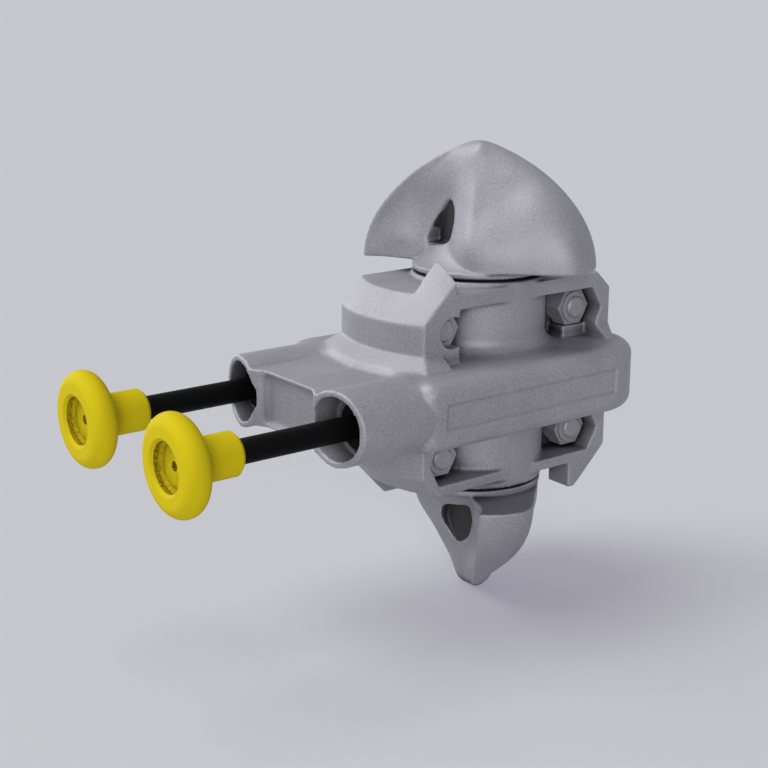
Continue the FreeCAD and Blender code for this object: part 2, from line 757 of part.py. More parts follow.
def rope(side):
    """The wire rope: straight from the knob to the drum, then round it to its nipple."""
    straight_end = Vector(0, side * WIRE_OFFSET, 0)
    start = Vector(FERRULE_END + 1, side * WIRE_OFFSET, 0)
    straight = cylinder(ROPE_RADIUS, start, straight_end)
    circle = Part.makeCircle(ROPE_RADIUS, straight_end, AXIS_X)
    disc = Part.Face(Part.Wire([circle]))
    touch = math.degrees((NIPPLE_RADIUS + NIPPLE_PLAY) / WIRE_OFFSET)
    wrap = disc.revolve(CENTRE, AXIS_Z, -side * (NIPPLE_ANGLE - touch))
    return fused([straight, wrap])


def spring_path():
    """The spring's centre line: up from the drum, round the coils, out into the housing."""
    radius = SPRING_MEAN_RADIUS
    points = [Vector(radius, 0, DRUM_HALF_HEIGHT - SPRING_TANG_LENGTH)]
    for index in range(SPRING_SIDES * SPRING_TURNS + 1):
        turn = index / SPRING_SIDES
        angle = 2 * math.pi * turn
        height = SPRING_BOTTOM + SPRING_PITCH * turn
        points.append(Vector(radius * math.cos(angle), radius * math.sin(angle), height))
    points.append(Vector(radius + SPRING_TANG_LENGTH, 0, spring_top_height()))
    return Part.makePolygon(points)


def return_spring():
    """The torsion spring of round wire, turned so that its tangs point to the front."""
    foot = Vector(SPRING_MEAN_RADIUS, 0, DRUM_HALF_HEIGHT - SPRING_TANG_LENGTH)
    corners = []
    for degrees in range(0, 361, 60):
        angle = math.radians(degrees)
        corners.append(foot + Vector(math.cos(angle), math.sin(angle), 0) * SPRING_WIRE_RADIUS)
    section = Part.makePolygon(corners)
    spring = spring_path().makePipeShell([section], True, False, 1)
    return spring.rotated(CENTRE, AXIS_Z, SPRING_ANGLE)


def guide_bush(side):
    """The plastic bush that guides a sleeve behind the mouth."""
    y = side * WIRE_OFFSET
    body = cylinder(GUIDE_RADIUS, Vector(GUIDE_WALL_START, y, 0), Vector(GUIDE_WALL_END, y, 0))
    rim_start = GUIDE_WALL_START - GUIDE_FLANGE_THICKNESS
    rim = cylinder(GUIDE_FLANGE_RADIUS, Vector(rim_start, y, 0), Vector(GUIDE_WALL_START, y, 0))
    bore = cylinder(
        SLEEVE_RADIUS + GUIDE_PLAY,
        Vector(rim_start - OVERRUN, y, 0),
        Vector(GUIDE_WALL_END + OVERRUN, y, 0),
    )
    return fused([body, rim]).cut(bore)


def sleeve(side):
    """The black plastic sleeve over a wire rope."""
    y = side * WIRE_OFFSET
    start = Vector(KNOB_BORE_END, y, 0)
    end = Vector(SLEEVE_INNER_END, y, 0)
    return cylinder(SLEEVE_RADIUS, start, end).cut(
        cylinder(ROPE_RADIUS + SLEEVE_WALL_PLAY, start - AXIS_X, end + AXIS_X)
    )


def ferrule(side):
    """The ferrule pressed on the rope inside the knob."""
    y = side * WIRE_OFFSET
    start = Vector(FERRULE_END, y, 0)
    end = Vector(KNOB_BORE_END, y, 0)
    return cylinder(FERRULE_RADIUS, start, end).cut(
        cylinder(ROPE_RADIUS, start + AXIS_X, end + AXIS_X)
    )


def knob_screw(side):
    """The set screw behind the small hole in the knob's dish."""
    y = side * WIRE_OFFSET
    start = Vector(KNOB_DISH_FLOOR + KNOB_SCREW_DEPTH, y, 0)
    return cylinder(KNOB_SCREW_RADIUS - KNOB_PLAY, start, Vector(FERRULE_END, y, 0))


def knob(side):
    """The pull knob: a thick rounded rim, a dished front and a neck over the sleeve."""
    rim = KNOB_RIM_RADIUS
    ring = KNOB_RIM_CENTRE_RADIUS
    neck = KNOB_NECK_RADIUS
    end = KNOB_NECK_END
    corner = KNOB_NECK_ROUND
    front = KNOB_DISC_X - rim
    back = KNOB_DISC_X + rim
    dish = KNOB_DISH_RADIUS
    lip = KNOB_LIP
    hollow_end = back + KNOB_NECK_HOLLOW

    def at(x, r):
        return Vector(x, r, 0)

    edges = [
        Part.LineSegment(at(KNOB_DISH_FLOOR, 0), at(KNOB_DISH_FLOOR, dish - lip)),
        Part.LineSegment(at(KNOB_DISH_FLOOR, dish - lip), at(KNOB_DISH_FLOOR - lip, dish)),
        Part.LineSegment(at(KNOB_DISH_FLOOR - lip, dish), at(front + lip, dish)),
        Part.LineSegment(at(front + lip, dish), at(front, dish + lip)),
        Part.LineSegment(at(front, dish + lip), at(front, ring)),
        Part.Arc(at(front, ring), at(KNOB_DISC_X, ring + rim), at(back, ring)),
        Part.Arc(at(back, ring), at(back + lip, neck + corner), at(hollow_end, neck)),
        Part.LineSegment(at(hollow_end, neck), at(end - corner, neck)),
        Part.LineSegment(at(end - corner, neck), at(end, neck - corner)),
        Part.LineSegment(at(end, neck - corner), at(end, 0)),
        Part.LineSegment(at(end, 0), at(KNOB_DISH_FLOOR, 0)),
    ]
    profile = Part.Face(Part.Wire([segment.toShape() for segment in edges]))
    solid = profile.revolve(CENTRE, AXIS_X, 360)
    bores = [
        (SLEEVE_RADIUS + KNOB_PLAY, KNOB_BORE_END, end + OVERRUN),
        (FERRULE_RADIUS + KNOB_PLAY, FERRULE_END, KNOB_BORE_END + OVERRUN),
        (KNOB_SCREW_RADIUS, KNOB_DISH_FLOOR - OVERRUN, FERRULE_END + OVERRUN),
    ]
    solid = solid.cut([cylinder(r, Vector(low, 0, 0), Vector(high, 0, 0)) for r, low, high in bores])
    solid.translate(Vector(0, side * WIRE_OFFSET, 0))
    return solid


def dowels():
    solids = []
    for x in (DOWEL_LEFT_X, DOWEL_RIGHT_X):
        start = Vector(x, -DOWEL_HALF_LENGTH, 0)
        solids.append(cylinder(DOWEL_RADIUS, start, Vector(x, DOWEL_HALF_LENGTH, 0)))
    return Part.makeCompound(solids)


def build():
    """Every node by name, about the flange's mid-plane."""
    whole = casting()
    nodes = {
        "housing_front": housing_half(whole, -1),
        "housing_rear": housing_half(whole, 1),
        "housing_bolts": bolts(),
        "housing_washers": washers(),
        "housing_nuts": nuts(),
        "housing_dowels": dowels(),
        "upper_bush": bush(),
        "lower_bush": turned_below(bush()),
        "spindle_shaft": shaft(),
        "upper_cone": cone(-LOCK_ANGLE),
        "lower_cone": turned_below(cone(-LOCK_ANGLE)),
        "upper_cone_pin": cone_pin(),
        "lower_cone_pin": turned_below(cone_pin()),
        "wire_drum": drum(),
        "drum_key": key(),
        "return_spring": return_spring(),
    }
    for name, side in (("front", -1), ("rear", 1)):
        nodes[name + "_guide_bush"] = guide_bush(side)
        nodes[name + "_wire_rope"] = rope(side)
        nodes[name + "_wire_sleeve"] = sleeve(side)
        nodes[name + "_wire_nipple"] = nipple(side)
        nodes[name + "_wire_ferrule"] = ferrule(side)
        nodes[name + "_knob"] = knob(side)
        nodes[name + "_knob_screw"] = knob_screw(side)
    return nodes


def main():
    os.makedirs("parts", exist_ok=True)
    lift = Vector(0, 0, FLANGE_THICKNESS / 2)
    for name, shape in build().items():
        lifted = shape.translated(lift)
        lifted.exportStep("parts/" + name + ".step")


main()
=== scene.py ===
"""Looks of the container twistlock: soft cast edges, materials, floor, light and camera."""
import bmesh
import bpy
import json
import math
import numpy as np
from mathutils import Matrix, Vector

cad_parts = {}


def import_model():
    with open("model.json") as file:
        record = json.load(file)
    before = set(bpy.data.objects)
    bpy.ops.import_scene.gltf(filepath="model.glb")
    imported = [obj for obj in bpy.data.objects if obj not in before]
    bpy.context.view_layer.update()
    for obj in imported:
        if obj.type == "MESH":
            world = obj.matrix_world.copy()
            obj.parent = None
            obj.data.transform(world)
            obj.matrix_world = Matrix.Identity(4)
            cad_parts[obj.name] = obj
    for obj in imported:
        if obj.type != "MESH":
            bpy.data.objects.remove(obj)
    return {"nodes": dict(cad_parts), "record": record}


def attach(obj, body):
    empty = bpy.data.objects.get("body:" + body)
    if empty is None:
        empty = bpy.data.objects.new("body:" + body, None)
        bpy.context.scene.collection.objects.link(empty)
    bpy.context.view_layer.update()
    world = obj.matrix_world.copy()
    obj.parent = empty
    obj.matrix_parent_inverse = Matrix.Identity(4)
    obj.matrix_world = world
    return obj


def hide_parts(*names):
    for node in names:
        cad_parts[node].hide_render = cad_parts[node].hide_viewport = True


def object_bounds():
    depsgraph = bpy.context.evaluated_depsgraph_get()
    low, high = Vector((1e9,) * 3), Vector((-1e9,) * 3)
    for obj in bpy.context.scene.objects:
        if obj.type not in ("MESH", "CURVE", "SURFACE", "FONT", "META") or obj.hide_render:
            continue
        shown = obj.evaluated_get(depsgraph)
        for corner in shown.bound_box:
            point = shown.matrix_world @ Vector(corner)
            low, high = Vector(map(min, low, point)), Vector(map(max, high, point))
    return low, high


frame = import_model()
cad_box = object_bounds()
nodes = frame["nodes"]
scene = bpy.context.scene

# The photograph's viewpoint, in metres and degrees, and the lens, in millimetres
CAMERA_PLACE = Vector((-0.424165, -0.493296, 0.189247))
CAMERA_AZIMUTH = -36.988
CAMERA_ELEVATION = 15.547
CAMERA_LENS = 69.55
CAMERA_REACH = 100
SENSOR_WIDTH = 36.0

# How finely the castings are skinned, in metres, and how often their edges and soft forms are smoothed
HOUSING_VOXEL = 0.0007
HOUSING_SMOOTHING = 3
HOUSING_SOFTENING = 40
CONE_VOXEL = 0.0006
CONE_SMOOTHING = 3
CONE_SOFTENING = 12
SMOOTHING_SHARE = 0.5
WELD = 1e-5

# Edges that turn by more than these degrees stay sharp
CAST_CREASE = 60
CAD_CREASE = 35

# Where the castings are softest, and the nameplate place with its crisp border, in metres
FLANGE_MIDDLE = 0.015
WEB_FACE_FRONT = -0.098
WEB_FACE_HALF_WIDTH = 0.0203
WEB_FACE_HALF_HEIGHT = 0.0112
SKIRT_FOOT_X = (-0.074, -0.060)
SKIRT_FOOT_Z = (0.0268, 0.034)
PLATE_X = (-0.062, 0.041)
PLATE_Z = (0.006, 0.024)
PLATE_FRONT = -0.0495
CONE_DISC_TOP = 0.053

MM_PER_METRE = 1000

# How far the cones stand turned from the slot at rest, in degrees, and the soft swellings and hollows
# on their flanks, in millimetres in the upper cone's own frame: place along the wing, height, lean,
# half widths along and up, and how far the flank moves out. They fade where the surface turns away.
CONE_REST_TURN = 46
CONE_FORMS = {
    "ridge": (-2.0, 90, 0.10, 3.4, 17, 1.1),
    "right_hollow": (19, 101, 0.0, 8, 7, -1.4),
    "left_swelling": (-35, 75, 0.0, 7, 5, 1.0),
    "left_hollow": (-27, 90, 0.0, 8, 10, -0.8),
}
CONE_FORM_FADE = 2

# The blind pocket in the flank, as turned, deep and outlined in the part, in degrees and millimetres,
# and how its painted shade spreads: full up to a little above the floor, and none beyond its reach
POCKET_TURN = 146
POCKET_FLOOR = 12.4
POCKET_OUTLINE = [(-12.0, 58.2), (-4.0, 58.6), (4.6, 61.6), (5.4, 69.5), (-1.6, 78.0), (-10.2, 69.0)]
POCKET_SWELL = 1.03
POCKET_SHADE_START = 0.5
POCKET_SHADE_REACH = 12.0
POCKET_FLOOR_PLAY = 1
OUTLINE_STEPS = 8

# Pins whose ends lie in the pockets, finished near-black as painted shade in the pockets
HIDDEN_PINS = ("upper_cone_pin", "lower_cone_pin")

# Colours
CAST_LIGHT = (0.41, 0.402, 0.447)
CAST_DARK = (0.288, 0.281, 0.317)
ZINC_COLOUR = (0.36, 0.353, 0.392)
# Near-black on the pins' ends in the pockets: painted shade
PIN_END_SHADE_COLOUR = (0.055, 0.053, 0.062)
BLACK_COLOUR = (0.0035, 0.0035, 0.004)
# The bushes' black plastic, whose near-black also stands for the shadow in the gap under the cones: partly
# painted shade
BUSH_AND_GAP_SHADE_COLOUR = (0.006, 0.006, 0.007)
KNOB_COLOUR = (0.66, 0.53, 0.008)
# The knobs' painted shade in their recessed places
KNOB_SHADE_COLOUR = (0.11, 0.065, 0.003)
BACKDROP_COLOUR = (0.578, 0.584, 0.617)
FLOOR_COLOUR = (0.575, 0.572, 0.612)

# The darker tone of a mottled surface, as a share of its colour
PLATING_SHADE = 0.8
PLASTIC_SHADE = 0.6

# Where a noise texture's values give a surface its dark and its light tone
CAST_SPREAD = (0.38, 0.62)
SHEEN_SPREAD = (0.35, 0.65)
SPREAD = (0.3, 0.7)

# Gloss
CAST_METALLIC = 0.38
PLATED_METALLIC = 0.4
METAL_ROUGHNESS = (0.48, 0.60)
BLACK_ROUGHNESS = 0.5
KNOB_ROUGHNESS = 0.7
FLOOR_ROUGHNESS = 0.9
DULL = 0.06

# Noise in each surface: scale per metre, detail and roughness
CAST_CLOUDS = (45, 3, 0.5)
CAST_PITS = (420, 2, 0.5)
CAST_GRAIN = (1500, 2, 0.7)
PLATING_FLAKES = (700, 3, 0.5)
BLACK_GRAIN = (500, 3, 0.5)
KNOB_BLOTCHES = (900, 3, 0.7)
KNOB_GRAIN = (1100, 2, 0.5)
CAST_GRAIN_SHARE = 0.75

# Bumps: strength, and height in metres
CAST_PIT_BUMP = (0.12, 0.0002)
CAST_GRAIN_BUMP = (0.5, 0.00014)
PLATING_BUMP = (0.15, 0.0001)
BLACK_BUMP = (0.2, 0.0001)
KNOB_BUMP = (0.3, 0.00012)

# Painted shade in recessed places, by the open share of the view within reach, in metres; painted light on
# cast steel's convex edges and painted shade in its creases and pockets; and the knobs' painted shade,
# broken up by blotches
RECESS_SAMPLES = 12
RECESS_REACH = 0.010
RECESS_PAINTED_SHADE = [(0.22, 0.04), (0.48, 0.45), (0.78, 1.0)]
EDGE_PAINTED_LIGHT_AND_SHADE = [(0.44, 0.58), (0.50, 0.90), (0.56, 1.0)]
POCKET_PAINTED_SHADE = [(0.0, 1.0), (0.25, 0.45), (1.0, 0.14)]
KNOB_RECESS_REACH = 0.016
KNOB_PAINTED_SHADE_SHARES = [(0.55, 1.0), (0.88, 0.06)]
KNOB_BLOTCH_SHARES = [(0.35, 1.0), (0.65, 0.45)]

# The floor's size in metres, how much of its tone in view is lit, and so can hold a shadow,
# and how bright the lamps make it
FLOOR_SIZE = 60.0
FLOOR_LIT_SHARE = (0.584, 0.618, 0.513)
FLOOR_LEVEL = 0.937

# Soft lamps: azimuth and elevation in degrees, and strength
LAMPS = {
    "front": (-127, 10, 1.58),
    "left": (143, 40, 1.15),
    "left_high": (143, 70, 1.10),
    "behind_left": (98, 10, 1.03),
}
LAMP_SOFTNESS = 35
AMBIENT = 0.2


def camera():
    """The camera at the photograph's viewpoint."""
    azimuth = math.radians(CAMERA_AZIMUTH)
    elevation = math.radians(CAMERA_ELEVATION)
    ahead = Vector((
        -math.sin(azimuth) * math.cos(elevation),
        math.cos(azimuth) * math.cos(elevation),
        -math.sin(elevation),
    ))
    right = Vector((math.cos(azimuth), math.sin(azimuth), 0))
    up = right.cross(ahead)
    data = bpy.data.cameras.new("camera")
    data.lens = CAMERA_LENS
    data.sensor_width = SENSOR_WIDTH
    data.clip_end = CAMERA_REACH
    made = bpy.data.objects.new("camera", data)
    turn = Matrix((right, up, -ahead)).transposed().to_4x4()
    made.matrix_world = Matrix.Translation(CAMERA_PLACE) @ turn
    scene.collection.objects.link(made)
    scene.camera = made


def new_material(name):
    """A node material, with its nodes and its links."""
    material = bpy.data.materials.new(name)
    material.use_nodes = True
    return material, material.node_tree.nodes, material.node_tree.links


def noise(tree, links, coordinates, kind):
    """A noise texture in the object's own coordinates."""
    scale, detail, roughness = kind
    texture = tree.new("ShaderNodeTexNoise")
    texture.inputs["Scale"].default_value = scale
    texture.inputs["Detail"].default_value = detail
    texture.inputs["Roughness"].default_value = roughness
    links.new(coordinates.outputs["Object"], texture.inputs["Vector"])
    return texture.outputs["Fac"]


def ramp(tree, links, source, stops):
    """A colour ramp over the source's value."""
    made = tree.new("ShaderNodeValToRGB")
    made.color_ramp.elements[0].position = stops[0][0]
    made.color_ramp.elements[0].color = (*stops[0][1], 1)
    made.color_ramp.elements[1].position = stops[-1][0]
    made.color_ramp.elements[1].color = (*stops[-1][1], 1)
    for place, colour in stops[1:-1]:
        made.color_ramp.elements.new(place).color = (*colour, 1)
    links.new(source, made.inputs["Fac"])
    return made.outputs["Color"]


def grey_ramp(tree, links, source, stops):
    """A ramp of greys over the source's value."""
    return ramp(tree, links, source, [(place, (grey, grey, grey)) for place, grey in stops])


def openness(tree, reach):
    """The open share of the view from each point of the surface."""
    made = tree.new("ShaderNodeAmbientOcclusion")
    made.inputs["Distance"].default_value = reach
    made.samples = RECESS_SAMPLES
    return made.outputs["AO"]


def bump(tree, links, height, kind, normal=None):
    """A bump by the height value, over another bump where a normal is given."""
    strength, distance = kind
    made = tree.new("ShaderNodeBump")
    made.inputs["Strength"].default_value = strength
    made.inputs["Distance"].default_value = distance
    links.new(height, made.inputs["Height"])
    if normal:
        links.new(normal, made.inputs["Normal"])
    return made.outputs["Normal"]


def multiplied(tree, links, colour, factor):
    """One colour output times another."""
    made = tree.new("ShaderNodeMix")
    made.data_type = "RGBA"
    made.blend_type = "MULTIPLY"
    made.inputs["Factor"].default_value = 1.0
    links.new(colour, made.inputs["A"])
    links.new(factor, made.inputs["B"])
    return made.outputs["Result"]


def cast_steel():
    """Grit-blasted cast steel with a matt grey coat: fine grain, painted shade in recessed places, creases
    and pockets, painted light on convex edges.
    """
    material, tree, links = new_material("cast_steel")
    shader = tree["Principled BSDF"]
    shader.inputs["Metallic"].default_value = CAST_METALLIC
    coordinates = tree.new("ShaderNodeTexCoord")
    clouds = noise(tree, links, coordinates, CAST_CLOUDS)
    grain = noise(tree, links, coordinates, CAST_GRAIN)
    blend = tree.new("ShaderNodeMix")
    blend.inputs["Factor"].default_value = CAST_GRAIN_SHARE
    links.new(clouds, blend.inputs["A"])
    links.new(grain, blend.inputs["B"])
    tones = list(zip(CAST_SPREAD, (CAST_DARK, CAST_LIGHT)))
    colour = ramp(tree, links, blend.outputs["Result"], tones)
    # Painted shade: recessed places darken by how little of the view around them is open
    painted_recess_shade = grey_ramp(tree, links, openness(tree, RECESS_REACH), RECESS_PAINTED_SHADE)
    geometry = tree.new("ShaderNodeNewGeometry")
    # Painted light and shade: convex edges lighter, creases darker, by the mesh's pointiness
    edges = grey_ramp(tree, links, geometry.outputs["Pointiness"], EDGE_PAINTED_LIGHT_AND_SHADE)
    # Painted shade in the cones' pockets, by the depth marked on the mesh
    pocket = tree.new("ShaderNodeAttribute")
    pocket.attribute_name = "pocket"
    painted_pocket_shade = grey_ramp(tree, links, pocket.outputs["Fac"], POCKET_PAINTED_SHADE)
    for shade in (painted_recess_shade, painted_pocket_shade, edges):
        colour = multiplied(tree, links, colour, shade)
    links.new(colour, shader.inputs["Base Color"])
    sheen = grey_ramp(tree, links, grain, list(zip(SHEEN_SPREAD, METAL_ROUGHNESS)))
    links.new(sheen, shader.inputs["Roughness"])
    pits = noise(tree, links, coordinates, CAST_PITS)
    coarse = bump(tree, links, pits, CAST_PIT_BUMP)
    fine = bump(tree, links, grain, CAST_GRAIN_BUMP, coarse)
    links.new(fine, shader.inputs["Normal"])
    return material


def mottled(colour, shade):
    """The stops of a ramp from the colour's darker tone to the colour."""
    return list(zip(SPREAD, (tuple(shade * part for part in colour), colour)))


def plated_steel(name, plating):
    """Bolts, nuts and pins with a thin plated surface, or a near-black one that paints shade on the pins'
    ends in the pockets.
    """
    material, tree, links = new_material(name)
    shader = tree["Principled BSDF"]
    shader.inputs["Metallic"].default_value = PLATED_METALLIC
    coordinates = tree.new("ShaderNodeTexCoord")
    flakes = noise(tree, links, coordinates, PLATING_FLAKES)
    colour = ramp(tree, links, flakes, mottled(plating, PLATING_SHADE))
    links.new(colour, shader.inputs["Base Color"])
    rough = grey_ramp(tree, links, flakes, list(zip(SPREAD, METAL_ROUGHNESS)))
    links.new(rough, shader.inputs["Roughness"])
    links.new(bump(tree, links, flakes, PLATING_BUMP), shader.inputs["Normal"])
    return material


def dark_plastic(name, plain):
    """A matt moulded dark plastic with a faint grain."""
    material, tree, links = new_material(name)
    shader = tree["Principled BSDF"]
    shader.inputs["Roughness"].default_value = BLACK_ROUGHNESS
    shader.inputs["Specular IOR Level"].default_value = DULL
    coordinates = tree.new("ShaderNodeTexCoord")
    grain = noise(tree, links, coordinates, BLACK_GRAIN)
    colour = ramp(tree, links, grain, mottled(plain, PLASTIC_SHADE))
    links.new(colour, shader.inputs["Base Color"])
    links.new(bump(tree, links, grain, BLACK_BUMP), shader.inputs["Normal"])
    return material


def knob_plastic():
    """Matt yellow plastic, with painted shade broken up by blotches where it is recessed, and lightly on
    the neck.
    """
    material, tree, links = new_material("yellow_plastic")
    shader = tree["Principled BSDF"]
    shader.inputs["Roughness"].default_value = KNOB_ROUGHNESS
    shader.inputs["Specular IOR Level"].default_value = DULL
    coordinates = tree.new("ShaderNodeTexCoord")
    blotches = noise(tree, links, coordinates, KNOB_BLOTCHES)
    # Painted shade in recessed places, broken up by blotches, mixes the yellow towards a dark brown
    painted_recess_shade = grey_ramp(tree, links, openness(tree, KNOB_RECESS_REACH), KNOB_PAINTED_SHADE_SHARES)
    spots = grey_ramp(tree, links, blotches, KNOB_BLOTCH_SHARES)
    share = tree.new("ShaderNodeMath")
    share.operation = "MULTIPLY"
    links.new(painted_recess_shade, share.inputs[0])
    links.new(spots, share.inputs[1])
    tone = tree.new("ShaderNodeMix")
    tone.data_type = "RGBA"
    tone.inputs["A"].default_value = (*KNOB_COLOUR, 1)
    tone.inputs["B"].default_value = (*KNOB_SHADE_COLOUR, 1)
    links.new(share.outputs[0], tone.inputs["Factor"])
    links.new(tone.outputs["Result"], shader.inputs["Base Color"])
    grain = noise(tree, links, coordinates, KNOB_GRAIN)
    links.new(bump(tree, links, grain, KNOB_BUMP), shader.inputs["Normal"])
    return material


def settled(piece):
    """The piece's mesh with its modifiers in it."""
    graph = bpy.context.evaluated_depsgraph_get()
    graph.update()
    return bpy.data.meshes.new_from_object(piece.evaluated_get(graph))


def cast_skin(shell, voxel, rounds, crisp, soft, softening):
    """A fine skin over the shell: its edges rounded but where crisp, its forms softened where soft."""
    mesh = bpy.data.meshes.new("raw")
    shell.to_mesh(mesh)
    piece = bpy.data.objects.new("raw", mesh)
    scene.collection.objects.link(piece)
    remesh = piece.modifiers.new("skin", "REMESH")
    remesh.mode = "VOXEL"
    remesh.voxel_size = voxel
    remesh.use_smooth_shade = True
    piece.data = settled(piece)
    piece.modifiers.clear()
    corners = piece.data.vertices
    for name, chosen, times in (
        ("rounded", lambda place: not crisp(place), rounds),
        ("soft", soft, softening),
    ):
        group = piece.vertex_groups.new(name=name)
        group.add([corner.index for corner in corners if chosen(corner.co)], 1.0, "REPLACE")
        smooth = piece.modifiers.new(name, "SMOOTH")
        smooth.factor = SMOOTHING_SHARE
        smooth.iterations = times
        smooth.vertex_group = name
    finished = settled(piece)
    bpy.data.objects.remove(piece)
    return finished


def within(value, limits):
    """Whether the value lies between the two limits."""
    return limits[0] < value < limits[1]


def on_nameplate_place(place):
    """The shallow recess in the flange's front."""
    return place.y < PLATE_FRONT and within(place.x, PLATE_X) and within(place.z, PLATE_Z)


def on_soft_housing(place):
    """The web's end face in the mouth, and the foot of the collar's skirt above the web."""
    aside = abs(place.y) < WEB_FACE_HALF_WIDTH
    level = abs(place.z - FLANGE_MIDDLE) < WEB_FACE_HALF_HEIGHT
    foot = within(place.x, SKIRT_FOOT_X) and within(place.z, SKIRT_FOOT_Z)
    return (place.x < WEB_FACE_FRONT and aside and level) or foot


def on_cone_disc(place):
    """The machined base disc of either cone."""
    return abs(place.z - FLANGE_MIDDLE) < CONE_DISC_TOP


def above_cone_disc(place):
    """The cast part of either cone."""
    return not on_cone_disc(place)


def body_of_node(node):
    """The body that the node belongs to."""
    groups = frame["record"]["behaviour"]["bodies"]
    return [body for body, members in groups.items() if node in members][0]


def slot_of_node(node):
    """The node's material slot."""
    subparts = frame["record"]["subparts"]
    return [part["material_slot"] for part in subparts if part["node"] == node][0]


def stand_in(mesh, node, material):
    """A visible piece with the mesh, which stands for its CAD node."""
    piece = bpy.data.objects.new(node + "_cast", mesh)
    scene.collection.objects.link(piece)
    mesh.materials.clear()
    mesh.materials.append(material)
    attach(piece, body_of_node(node))
    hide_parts(node)
    return piece


def welded(*names):
    """The CAD nodes as one mesh without double corners."""
    shell = bmesh.new()
    for name in names:
        shell.from_mesh(nodes[name].data)
    bmesh.ops.remove_doubles(shell, verts=shell.verts, dist=WELD)
    return shell


def turned(along, across, degrees):
    """Two coordinates after a turn about the spindle."""
    angle = math.radians(degrees)
    return (
        along * math.cos(angle) - across * math.sin(angle),
        along * math.sin(angle) + across * math.cos(angle),
    )


def inside_outline(across, height, outline):
    """Which points lie inside the closed outline, by how often a line from each crosses it."""
    inside = np.zeros(across.shape, bool)
    for (a, low), (b, high) in zip(outline, outline[1:] + outline[:1]):
        if low == high:
            continue
        crosses = (low > height) != (high > height)
        inside ^= crosses & (across < a + (height - low) * (b - a) / (high - low))
    return inside


def rounded_outline(points, swell, steps):
    """A closed smooth curve through the points, a little larger than they are."""
    corners = np.array(points)
    middle = corners.mean(axis=0)
    corners = middle + swell * (corners - middle)
    curve = []
    for index in range(len(corners)):
        a, b, c, d = (corners[(index + shift) % len(corners)] for shift in (-1, 0, 1, 2))
        for step in range(steps):
            t = step / steps
            bend = (2 * a - 5 * b + 4 * c - d) * t * t + (3 * b - a - 3 * c + d) * t ** 3
            curve.append(tuple(b + ((c - a) * t + bend) / 2))
    return curve


def pocket_depth(along, across, height):
    """How deep each point lies in the flank's pocket, as the weight of its painted shade: 0 outside or at
    the rim, 1 on its floor.
    """
    out, aside = turned(along, across, POCKET_TURN)
    outline = rounded_outline(POCKET_OUTLINE, POCKET_SWELL, OUTLINE_STEPS)
    depth = np.clip(1 - (out - POCKET_FLOOR - POCKET_SHADE_START) / POCKET_SHADE_REACH, 0, 1)
    near = (out > POCKET_FLOOR - POCKET_FLOOR_PLAY) & inside_outline(aside, height, outline)
    return depth * near


def shape_cone(mesh, upside_down):
    """Moves the flanks' surface out or in by the soft forms, and marks the pockets' depth for their
    painted shade.
    """
    count = len(mesh.vertices)
    places = np.empty(3 * count)
    facing = np.empty(3 * count)
    mesh.vertices.foreach_get("co", places)
    mesh.vertex_normals.foreach_get("vector", facing)
    places = places.reshape(-1, 3)
    facing = facing.reshape(-1, 3)
    flip = -1 if upside_down else 1
    height = MM_PER_METRE * flip * (places[:, 2] - FLANGE_MIDDLE)
    along, across = turned(
        MM_PER_METRE * places[:, 0],
        MM_PER_METRE * flip * places[:, 1],
        CONE_REST_TURN,
    )
    outward = turned(facing[:, 0], flip * facing[:, 1], CONE_REST_TURN)[1]
    side = np.where(outward < 0, 1, -1)
    marked = pocket_depth(along, across, height) + pocket_depth(-along, -across, height)
    push = np.zeros(count)
    for place, level, lean, wide, tall, out in CONE_FORMS.values():
        above = height - (level - MM_PER_METRE * FLANGE_MIDDLE)
        aside = along * side - place - lean * above
        push += out * np.exp(-(aside / wide) ** 2 - (above / tall) ** 2)
    push *= np.clip(abs(outward) * CONE_FORM_FADE, 0, 1) * (marked == 0)
    step = turned(0, -side * push / MM_PER_METRE, -CONE_REST_TURN)
    places[:, 0] += step[0]
    places[:, 1] += flip * step[1]
    mesh.vertices.foreach_set("co", places.ravel())
    # The depth in the pockets, kept on the mesh for the material's painted shade
    layer = mesh.attributes.new("pocket", "FLOAT", "POINT")
    layer.data.foreach_set("value", marked.astype(np.float32))
    mesh.update()


def cast_cone(node, material, upside_down):
    """A cone under a cast skin, with its soft forms."""
    shell = welded(node)
    mesh = cast_skin(shell, CONE_VOXEL, CONE_SMOOTHING, on_cone_disc, above_cone_disc, CONE_SOFTENING)
    shell.free()
    shape_cone(mesh, upside_down)
    stand_in(mesh, node, material)


def half_of(mesh, name, towards):
    """What the parting plane leaves of the mesh, away from the given side, closed again."""
    half = bmesh.new()
    half.from_mesh(mesh)
    cut = bmesh.ops.bisect_plane(
        half,
        geom=half.verts[:] + half.edges[:] + half.faces[:],
        dist=WELD / 10,
        plane_co=(0, 0, 0),
        plane_no=(0, towards, 0),
        clear_outer=True,
    )
    rim = [item for item in cut["geom_cut"] if isinstance(item, bmesh.types.BMEdge)]
    bmesh.ops.triangle_fill(half, edges=rim, use_beauty=True)
    bmesh.ops.recalc_face_normals(half, faces=half.faces[:])
    made = bpy.data.meshes.new(name)
    half.to_mesh(made)
    half.free()
    made.shade_smooth()
    made.set_sharp_from_angle(angle=math.radians(CAST_CREASE))
    return made


def cast_housing(front, rear, material):
    """Both housing halves under one skin, which is then parted between them again."""
    shell = welded(front, rear)
    parting = [
        face for face in shell.faces
        if max(abs(corner.co.y) for corner in face.verts) < WELD
    ]
    bmesh.ops.delete(shell, geom=parting, context="FACES")
    mesh = cast_skin(
        shell, HOUSING_VOXEL, HOUSING_SMOOTHING,
        on_nameplate_place, on_soft_housing, HOUSING_SOFTENING,
    )
    shell.free()
    for node, towards in ((front, 1), (rear, -1)):
        stand_in(half_of(mesh, node + "_cast", towards), node, material)


